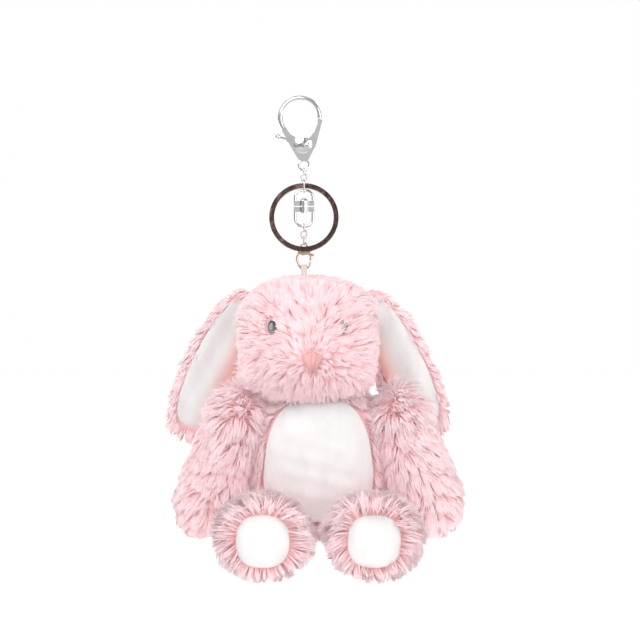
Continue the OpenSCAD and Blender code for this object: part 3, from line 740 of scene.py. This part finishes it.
def pad_surface(hip):
    """A sole pad: a domed disc with soft corners, sunk a little at its back."""
    axis = leg_axis()
    wide = np.array([1.0, 0.0, 0.0])
    up = np.cross(axis, wide)

    def surface(u, v):
        turn = v * 2 * np.pi
        reach = lens_reach(u)
        out = SOLE_R * 0.97 * reach * rounded(turn, 2.6)
        x, z = out * np.cos(turn), out * np.sin(turn)
        dome = np.where(u < 0.5, 0.5 + 3.3 * (1 - reach ** 2) ** 0.8, -0.6)
        dome = dome + np.where(u < 0.5, 0.12 * np.sin(x * 0.7) * np.cos(z * 0.6), 0)
        return (hip + axis * (LEG_LENGTH + dome)[..., None] + wide * x[..., None] + up * z[..., None])
    return surface


# ---------------------------------------------------------------- operators


class RABBIT_OT_head(bpy.types.Operator):
    """Make the head, its pile, eyes and stitched nose"""
    bl_idname = "rabbit.head"
    bl_label = "Head"

    def execute(self, context):
        pile = settings("rabbit_pile")
        backing = backing_material()
        head = skin("head", "rabbit", head_surface, 96, 144, backing)
        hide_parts("head_skin", "head_filling")
        roots, normals = roots_on(head_surface, 1.25, 11)
        from_nose = roots - NOSE_AT
        reach = np.linalg.norm(from_nose, axis=1)
        comb = unit(from_nose) + DOWN * 0.30 * np.clip((-roots[:, 2:] + HEAD[2]) / 26, 0, 1)
        length = np.interp(reach, [3, 9, 20, 34, 60], [2.6, 5.2, 7.0, 7.0, 6.2]) / 7.0 * pile.head / MM
        top = np.clip((roots[:, 2] - (HEAD[2] + 12)) / 14, 0, 1)
        length = length * (1 - 0.25 * top)
        lean = np.interp(reach, [3, 12, 30, 60], [0.55, 0.5, 0.62, 0.72]) + 0.12 * top
        across, above = roots[:, 0] - HEAD[0], roots[:, 2] - HEAD[2]
        wide = np.clip((np.abs(across) - 15) / 8, 0, 1)
        temple = wide * np.clip((above - 6) / 8, 0, 1)
        jowl = wide * np.clip((-above - 8) / 8, 0, 1)
        outside = np.stack([np.sign(across), np.full(len(roots), 0.1), np.full(len(roots), -0.15)], -1)
        comb = comb * (1 - temple)[:, None] + outside * temple[:, None]
        length *= 1 + 0.55 * temple + 0.35 * jowl
        keep = nose_clear(roots)
        for name, shorten in (("left", 0.45), ("right", 0.85)):
            eye = centre_of(f"eye_{name}")
            away = np.hypot(roots[:, 0] - eye[0], roots[:, 2] - eye[2])
            front = roots[:, 1] < HEAD[1]
            length = np.where(front, length * np.interp(away, [2.5, 8], [shorten, 1.0]), length)
            wide = np.hypot((roots[:, 0] - eye[0]) / 2.6, (roots[:, 2] - eye[2]) / 3.6)
            keep &= ~(front & (wide < (1.0 if name == "left" else 0.55)))
        hidden = (roots[:, 2] < TORSO[2] + 31) & (roots[:, 1] > -14) & (np.abs(roots[:, 0] - TORSO[0]) < 15)
        keep &= ~hidden
        order = np.argsort(roots[:, 1])
        order = order[keep[order]]
        for k, part in enumerate(np.array_split(order, 3)):
            fur = grow_pile(f"head_pile_{k + 1}", "rabbit", roots[part], normals[part], comb[part], length[part],
                            lean[part], pile_of(), 100, tuft=4.0, pull=0.6)
        self.eyes()
        self.nose()
        return {"FINISHED"}

    def eyes(self):
        """Each eye is an oval bead; a colour attribute gives its distance from the middle."""
        bead = bead_material()
        for name in SIDES:
            middle = centre_of(f"eye_{name}")
            half = np.array([2.05, 1.8, 3.1])
            turn = math.radians(24) * SIDES[name]
            flat = np.array([[math.cos(turn), -math.sin(turn), 0], [math.sin(turn), math.cos(turn), 0], [0, 0, 1]])
            centre = np.array([middle[0], front_of(head_surface, middle) - 0.9, middle[2]])

            def surface(u, v, centre=centre, flat=flat):
                polar, round_ = u * np.pi, v * 2 * np.pi
                p = np.stack([np.sin(polar) * np.cos(round_), -np.cos(polar), np.sin(polar) * np.sin(round_)], -1)
                return centre + (p * half) @ flat.T
            eye = skin(f"eye_bead_{name}", "rabbit", surface, 40, 48, bead,
                       ("bead", lambda u, v: np.clip(np.sin(np.clip(u, 0, 0.5) * np.pi), 0, 1)))
            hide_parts(f"eye_{name}")

    def nose(self):
        """A padded triangle of satin stitches: ridges run from its top edge down to its point."""
        colour = tuple(settings("rabbit_cloth").nose)
        thread = stitch_material("nose_stitches", colour)
        middle = centre_of("nose")
        half_w, half_h = 5.0, 4.7
        rows, columns = 60, 97
        u, v = np.meshgrid(np.linspace(0, 1, rows), np.linspace(-1, 1, columns), indexing="ij")
        narrow = np.clip(1 - u, 0, 1) ** 0.8 * np.clip(u * 9, 0, 1) ** 0.4
        x = v * half_w * narrow
        z = half_h - u * 2 * half_h - 0.8 * v ** 2 * (1 - u)
        stitches = 13
        ridge_high = 0.22
        ridge = ridge_high * np.abs(np.cos(v * stitches * np.pi / 2))
        crown = 1.5 * (1 - v ** 2) ** 0.5 * np.clip(np.sin(u * np.pi), 0, 1) ** 0.5
        front = middle[1] - 0.6 - crown - ridge * np.clip(narrow * 3, 0, 1)
        face = np.stack([middle[0] + x, front, middle[2] + z], -1)
        rear = face.copy()
        rear[..., 1] = middle[1] + 1.0
        n = rows * columns
        verts = np.concatenate([face.reshape(-1, 3), rear.reshape(-1, 3)])
        at = np.arange(n).reshape(rows, columns)
        quads = np.stack([at[:-1, :-1], at[1:, :-1], at[1:, 1:], at[:-1, 1:]], -1).reshape(-1, 4)
        edge = np.concatenate([at[:, 0], at[-1, 1:], at[-2::-1, -1], at[0, -2:0:-1]])
        after = np.roll(edge, -1)
        wall = np.stack([edge, edge + n, after + n, after], -1)
        loops = np.concatenate([quads.ravel(), (quads[:, ::-1] + n).ravel(), wall.ravel()])
        totals = np.full(len(loops) // 4, 4)
        shade = np.ones((2 * n, 4))
        shade[:, 0] = np.tile((ridge / ridge_high).ravel(), 2)
        which = np.round((v + 1) * stitches / 2).ravel()
        shade[:, 1] = np.tile(lattice_random(np.stack([which, which * 0, which * 0], -1), 4), 2)
        verts, loops, totals = outward(verts, loops, totals)
        piece = add_piece("nose_stitching", "rabbit", verts, loops, totals, thread, attributes={"stitch": shade})
        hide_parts("nose")


def nose_clear(roots):
    """True for roots outside the nose's triangle."""
    x, z = np.abs(roots[:, 0] - NOSE_AT[0]), roots[:, 2] - centre_of("nose")[2]
    inside = (z < 4.3) & (z > -4.8) & (x < 4.6 * (z + 5.4) / 9.7) & (roots[:, 1] < -15)
    return ~inside


def pile_of():
    """The one pile material, made on first use."""
    return bpy.data.materials.get("pile_strands") or pile_material()


class RABBIT_OT_torso(bpy.types.Operator):
    """Make the torso, its pile and the velour belly"""
    bl_idname = "rabbit.torso"
    bl_label = "Torso"

    def execute(self, context):
        pile = settings("rabbit_pile")
        torso = skin("torso", "rabbit", torso_surface, 80, 120, bpy.data.materials["pile_backing"])
        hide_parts("torso_skin", "torso_filling")
        belly = skin("belly", "rabbit", belly_surface, 120, 144, velour_material("belly_velour"))
        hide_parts("belly_panel")
        roots, normals = roots_on(torso_surface, 1, 21)
        local = roots - TORSO
        turn = np.arctan2(local[:, 2] + BELLY_DROP, local[:, 0])
        ox, oz = panel_outline(turn)
        reach = np.hypot(local[:, 0], local[:, 2] + BELLY_DROP) / np.hypot(ox, oz)
        keep = ~((roots[:, 1] < TORSO[1]) & (reach < 1.0)) & (roots[:, 2] < HEAD[2] - 17)
        out = np.stack([local[:, 0] / 28, local[:, 1] / 60, np.zeros(len(local))], -1)
        low = np.clip((-local[:, 2] - 18) / 15, 0, 1)
        comb = DOWN + out * 0.5 + np.array([0, -0.8, 0]) * low[:, None]
        edge = np.interp(reach, [1.0, 1.25], [0.7, 1.0])
        length = pile.torso / MM * np.where(roots[:, 1] < TORSO[1], edge, 1) * (1 + 0.3 * low)
        lean = np.full(len(roots), 0.6)
        roots, normals, comb, length, lean = (a[keep] for a in (roots, normals, comb, length, lean))
        order = np.argsort(roots[:, 1])
        for k, part in enumerate(np.array_split(order, 2)):
            fur = grow_pile(f"torso_pile_{k + 1}", "rabbit", roots[part], normals[part], comb[part], length[part],
                            lean[part], pile_of(), 200)
        return {"FINISHED"}


class RABBIT_OT_arms(bpy.types.Operator):
    """Make the arms and their pile"""
    bl_idname = "rabbit.arms"
    bl_label = "Arms"

    def execute(self, context):
        pile = settings("rabbit_pile")
        for name, side in SIDES.items():
            surface = limb_surface(pivot_of(f"arm_{name}_swing"), arm_axis(side), arm_profile)
            arm = skin(f"arm_{name}", f"arm_{name}", surface, 60, 72, bpy.data.materials["pile_backing"])
            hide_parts(f"arm_{name}_skin", f"arm_{name}_filling")
            roots, normals = roots_on(surface, 1.1, 31 + side)
            comb = arm_axis(side) + np.array([side * 0.12, 0, -0.1])
            comb = np.tile(comb, (len(roots), 1))
            length = np.full(len(roots), pile.arm / MM)
            along = (roots - pivot_of(f"arm_{name}_swing")) @ arm_axis(side)
            length *= np.interp(along, [-8, 6, 30, 50], [1.25, 1.05, 1.0, 0.75])
            lean = np.interp(along, [-8, 0, 9], [0.15, 0.3, 0.62])
            fur = grow_pile(f"arm_pile_{name}", f"arm_{name}", roots, normals, comb, length, lean,
                            pile_of(), 300 + side, tuft=4.6, pull=0.66)
        return {"FINISHED"}


class RABBIT_OT_legs(bpy.types.Operator):
    """Make the legs, their pile and the velour soles"""
    bl_idname = "rabbit.legs"
    bl_label = "Legs"

    def execute(self, context):
        pile = settings("rabbit_pile")
        velour = velour_material("sole_velour")
        for name, side in SIDES.items():
            hip = pivot_of(f"leg_{name}_droop")
            surface = limb_surface(hip, leg_axis(), leg_profile)
            body = f"leg_{name}"
            leg = skin(f"leg_{name}", body, surface, 70, 90, bpy.data.materials["pile_backing"])
            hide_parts(f"leg_{name}_skin", f"leg_{name}_filling")
            pad = skin(f"sole_{name}", body, pad_surface(hip), 80, 96, velour)
            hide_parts(f"sole_pad_{name}")
            roots, normals = roots_on(surface, 1.15, 41 + side)
            local = roots - hip
            along = local @ leg_axis()
            radial = local - along[:, None] * leg_axis()
            reach = np.linalg.norm(radial, axis=1)
            keep = ~((along > LEG_LENGTH - 3) & (reach < SOLE_R - 0.6))
            near = np.clip((along - LEG_LENGTH * 0.45) / (LEG_LENGTH * 0.5), 0, 1)[:, None]
            comb = leg_axis() * (1 - 0.3 * near) + unit(radial) * 0.9 * near + DOWN * 0.15
            length = np.full(len(roots), pile.leg / MM) * np.interp(along, [0, LEG_LENGTH], [0.85, 1.05])
            under = np.clip(-radial[:, 2] / FOOT_R, 0, 1)
            length *= (1 - 0.5 * under) * (1 + 0.25 * np.abs(radial[:, 0]) / FOOT_R)
            lean = 0.62 - 0.25 * near[:, 0]
            roots, normals, comb, length, lean = (a[keep] for a in (roots, normals, comb, length, lean))
            fur = grow_pile(f"leg_pile_{name}", body, roots, normals, comb, length, lean,
                            pile_of(), 400 + side, tuft=4.6, pull=0.66)
        return {"FINISHED"}


class RABBIT_OT_ears(bpy.types.Operator):
    """Make the ears, their pile and velour linings"""
    bl_idname = "rabbit.ears"
    bl_label = "Ears"

    def execute(self, context):
        pile = settings("rabbit_pile")
        velour = velour_material("ear_velour", folded=True)
        for name, side in SIDES.items():
            body = f"ear_{name}"
            place = ear_frame(name, side)
            surface = ear_surface(name, side)
            ear = skin(f"ear_{name}", body, surface, 80, 64, bpy.data.materials["pile_backing"])
            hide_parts(f"ear_{name}_pile")

            def fold(u, v, side=side):
                """The painted warm shade's strength: on the ear's inner side, and gone at its tip."""
                inner = -side * np.cos(v * 2 * np.pi)
                down = np.interp(u, [0, 0.25, 0.6, 0.85], [0.5, 0.8, 0.8, 0.0])
                return np.clip(inner + 0.1, 0, 1) ** 1.5 * down
            lining = skin(f"ear_lining_{name}", body, lining_surface(name, side), 90, 72, velour, ("fold", fold))
            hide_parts(f"ear_{name}_lining")
            roots, normals = roots_on(surface, 1.2, 51 + side)
            root, wide, back, up = place
            local = roots - root
            x, y, z = local @ wide, local @ back, local @ up
            above = z - EAR_TOP + EAR_LENGTH / 2
            u = np.arccos(np.clip(above / (EAR_LENGTH / 2), -1, 1)) / np.pi
            front = normals @ back < -0.35
            up_lining = above / (EAR_LENGTH * 0.45)
            u_lining = np.arccos(np.clip(up_lining, -1, 1)) / np.pi
            inside = (np.abs(x) < ear_outline(u_lining) * 0.81) & (np.abs(up_lining) < 0.985)
            keep = ~(front & inside)
            rim = np.clip(np.abs(x) / np.maximum(ear_outline(u), 1) - 0.55, 0, 0.45)[:, None] / 0.45
            comb = -up + wide * np.sign(x)[:, None] * 0.5 * rim
            length = pile.ear / MM * np.interp(u, [0, 0.12, 0.3, 1], [0.3, 0.55, 1.0, 1.0])
            lean = np.interp(u, [0, 0.2, 1], [0.9, 0.7, 0.66])
            roots, normals, comb, length, lean = (a[keep] for a in (roots, normals, comb, length, lean))
            fur = grow_pile(f"ear_pile_{name}", body, roots, normals, comb, length, lean,
                            pile_of(), 500 + side, tuft=3.8, pull=0.55, swirl=0.3)
        return {"FINISHED"}


class RABBIT_OT_ribbon(bpy.types.Operator):
    """Make the folded ribbon that the rabbit hangs from"""
    bl_idname = "rabbit.ribbon"
    bl_label = "Ribbon"

    def execute(self, context):
        low, high = (np.array(c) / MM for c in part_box("hanging_ribbon"))
        width, thick = high[0] - low[0], 0.8
        outer = (high[1] - low[1]) / 2
        middle = outer - thick / 2
        top = high[2] - outer
        turn = np.linspace(0, np.pi, 40)
        path_y = np.concatenate([np.full(30, middle), middle * np.cos(turn), np.full(30, -middle)])
        rise = np.linspace(low[2], top, 30)
        path_z = np.concatenate([rise, top + middle * np.sin(turn), rise[::-1]])
        tangent = unit(np.stack([np.gradient(path_y), np.gradient(path_z)], -1))
        normal = np.stack([tangent[:, 1], -tangent[:, 0]], -1)
        around = 28
        round_ = np.arange(around) * 2 * np.pi / around
        sx = np.sign(np.cos(round_)) * np.abs(np.cos(round_)) ** 0.35 * width / 2
        sn = np.sign(np.sin(round_)) * np.abs(np.sin(round_)) ** 0.5 * thick / 2
        rings = np.zeros((len(path_y), around, 3))
        rings[..., 0] = (low[0] + high[0]) / 2 + sx[None, :]
        rings[..., 1] = path_y[:, None] + normal[:, :1] * sn[None, :] * 0.98
        rings[..., 2] = path_z[:, None] + normal[:, 1:] * sn[None, :] * 0.98
        ends = [np.repeat(rings[k].mean(0)[None, None], around, axis=1) for k in (0, -1)]
        points = np.concatenate([ends[0], rings, ends[1]])
        piece = add_piece("ribbon_loop", "rabbit", *outward(*closed_grid(points)), ribbon_material())
        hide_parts("hanging_ribbon")
        return {"FINISHED"}


class RABBIT_OT_metal(bpy.types.Operator):
    """Plate the clasps, links, ring and swivel"""
    bl_idname = "rabbit.metal"
    bl_label = "Metal"

    def execute(self, context):
        metal = settings("rabbit_metal")
        plating = {
            "chrome_clasp": plated_material("bright_chrome", tuple(metal.chrome), 0.07, (0.62, 0.62, 0.64)),
            "dark_nickel": plated_material("dark_nickel_plate", tuple(metal.nickel), 0.10, (0.16, 0.09, 0.07)),
            "warm_silver": plated_material("warm_silver_plate", tuple(metal.warm), 0.16, (0.60, 0.52, 0.45)),
            "rose_gold": plated_material("rose_gold_plate", tuple(metal.rose), 0.15, (0.66, 0.44, 0.36)),
            "spring_steel": plated_material("spring_steel_wire", (0.55, 0.55, 0.57), 0.3, (0.4, 0.4, 0.42)),
        }
        for part in frame["record"]["subparts"]:
            if part["material_slot"] in plating:
                node = frame["nodes"][part["node"]]
                node.data.materials.clear()
                node.data.materials.append(plating[part["material_slot"]])
        return {"FINISHED"}


class RABBIT_OT_stage(bpy.types.Operator):
    """Set up the camera, floor and soft studio light"""
    bl_idname = "rabbit.stage"
    bl_label = "Stage"

    def execute(self, context):
        stage = settings("rabbit_stage")
        scene = context.scene
        scene.view_settings.view_transform = "Standard"
        camera = bpy.data.objects.new("camera", bpy.data.cameras.new("camera"))
        camera.data.lens = stage.lens
        distance = stage.view_width * stage.lens / camera.data.sensor_width
        camera.location = (stage.centre_x, -distance, stage.centre_z)
        camera.rotation_euler = (math.pi / 2, 0, 0)
        scene.collection.objects.link(camera)
        scene.camera = camera
        self.floor(stage.floor_z)
        self.world(scene)
        middle = np.array([stage.centre_x, 0, -0.12])
        for name, at, size, power in (
            ("key", (-0.32, -0.68, 0.62), 0.85, 6.8),
            ("fill", (0.68, -0.62, 0.15), 0.9, 3.8),
        ):
            light = bpy.data.objects.new(name, bpy.data.lights.new(name, "AREA"))
            light.data.shape, light.data.size, light.data.energy = "DISK", size, power
            place = np.array(at) + middle
            light.location = place
            aim = middle - place
            light.rotation_euler = (math.atan2(math.hypot(aim[0], aim[1]), -aim[2]), 0,
                                    math.atan2(aim[1], aim[0]) - math.pi / 2)
            scene.collection.objects.link(light)
        return {"FINISHED"}

    def floor(self, height):
        """A wide pale floor that glows behind the rabbit."""
        material, s = new_material("pale_floor")
        far = s.split("ShaderNodeSeparateXYZ", s.place())[1].step(-0.25, 0.02)
        s.surface({"Base Color": s.mix(far, (0.62, 0.62, 0.62), (0.93, 0.93, 0.93)), "Roughness": 0.9,
                   "Emission Color": s.mix(far, (0.0, 0.0, 0.0), (1.0, 1.0, 1.0)), "Emission Strength": 0.85,
                   "Normal": s.bump(s.noise(2, 2), 0.05, 0.1)})
        mesh = bpy.data.meshes.new("floor")
        side = 6.0
        corners = [(x * side, y * side, height) for x, y in ((-1, -1), (1, -1), (1, 1), (-1, 1))]
        mesh.from_pydata(corners, [], [(0, 1, 2, 3)])
        mesh.materials.append(material)
        floor = bpy.data.objects.new("floor", mesh)
        bpy.context.scene.collection.objects.link(floor)

    def world(self, scene):
        """White light all round, with grey bands on the viewer's side that give the metal its dark streaks."""
        scene.world = bpy.data.worlds.new("studio")
        s = Shade(scene.world)
        x, y, z = s.split("ShaderNodeSeparateXYZ", s.node("ShaderNodeTexCoord"))
        band = s.node("ShaderNodeMath", {"operation": "SINE"}, {0: x * 9.0 + z * 5.0 + 0.9}).step(0.15, 0.65)
        behind = y.step(0.4, 0.75)
        level = behind + (1 - behind) * (0.36 + band * 0.34)
        back = s.node("ShaderNodeBackground", None, {0: s.grey(level), 1: 1.0})
        s.node("ShaderNodeOutputWorld", None, {0: back})


class RABBIT_PT_panel(bpy.types.Panel):
    """The rabbit's settings and its makers"""
    bl_idname = "RABBIT_PT_panel"
    bl_label = "Plush Rabbit"
    bl_space_type = "VIEW_3D"
    bl_region_type = "UI"
    bl_category = "Rabbit"

    def draw(self, context):
        for group in GROUPS:
            box = self.layout.box()
            values = getattr(context.scene, group)
            for key in values.__annotations__:
                box.prop(values, key)
        for operator in OPERATORS:
            self.layout.operator(operator.bl_idname)


GROUPS = {"rabbit_pile": PileSettings, "rabbit_cloth": ClothSettings, "rabbit_metal": MetalSettings,
          "rabbit_stage": StageSettings}
OPERATORS = (RABBIT_OT_stage, RABBIT_OT_metal, RABBIT_OT_ribbon, RABBIT_OT_head, RABBIT_OT_torso,
             RABBIT_OT_arms, RABBIT_OT_legs, RABBIT_OT_ears)


def register():
    """Registers the classes and hangs the settings on the scene."""
    for cls in (*GROUPS.values(), *OPERATORS, RABBIT_PT_panel):
        bpy.utils.register_class(cls)
    for group, cls in GROUPS.items():
        setattr(bpy.types.Scene, group, bpy.props.PointerProperty(type=cls))


def unregister():
    """Takes the settings and classes away again."""
    for group in GROUPS:
        delattr(bpy.types.Scene, group)
    for cls in (RABBIT_PT_panel, *reversed(OPERATORS), *reversed(list(GROUPS.values()))):
        bpy.utils.unregister_class(cls)


def main():
    """Makes every piece in order."""
    register()
    for operator in OPERATORS:
        group, call = operator.bl_idname.split(".")
        getattr(getattr(bpy.ops, group), call)()
    bpy.context.view_layer.update()


if __name__ == "__main__":
    main()
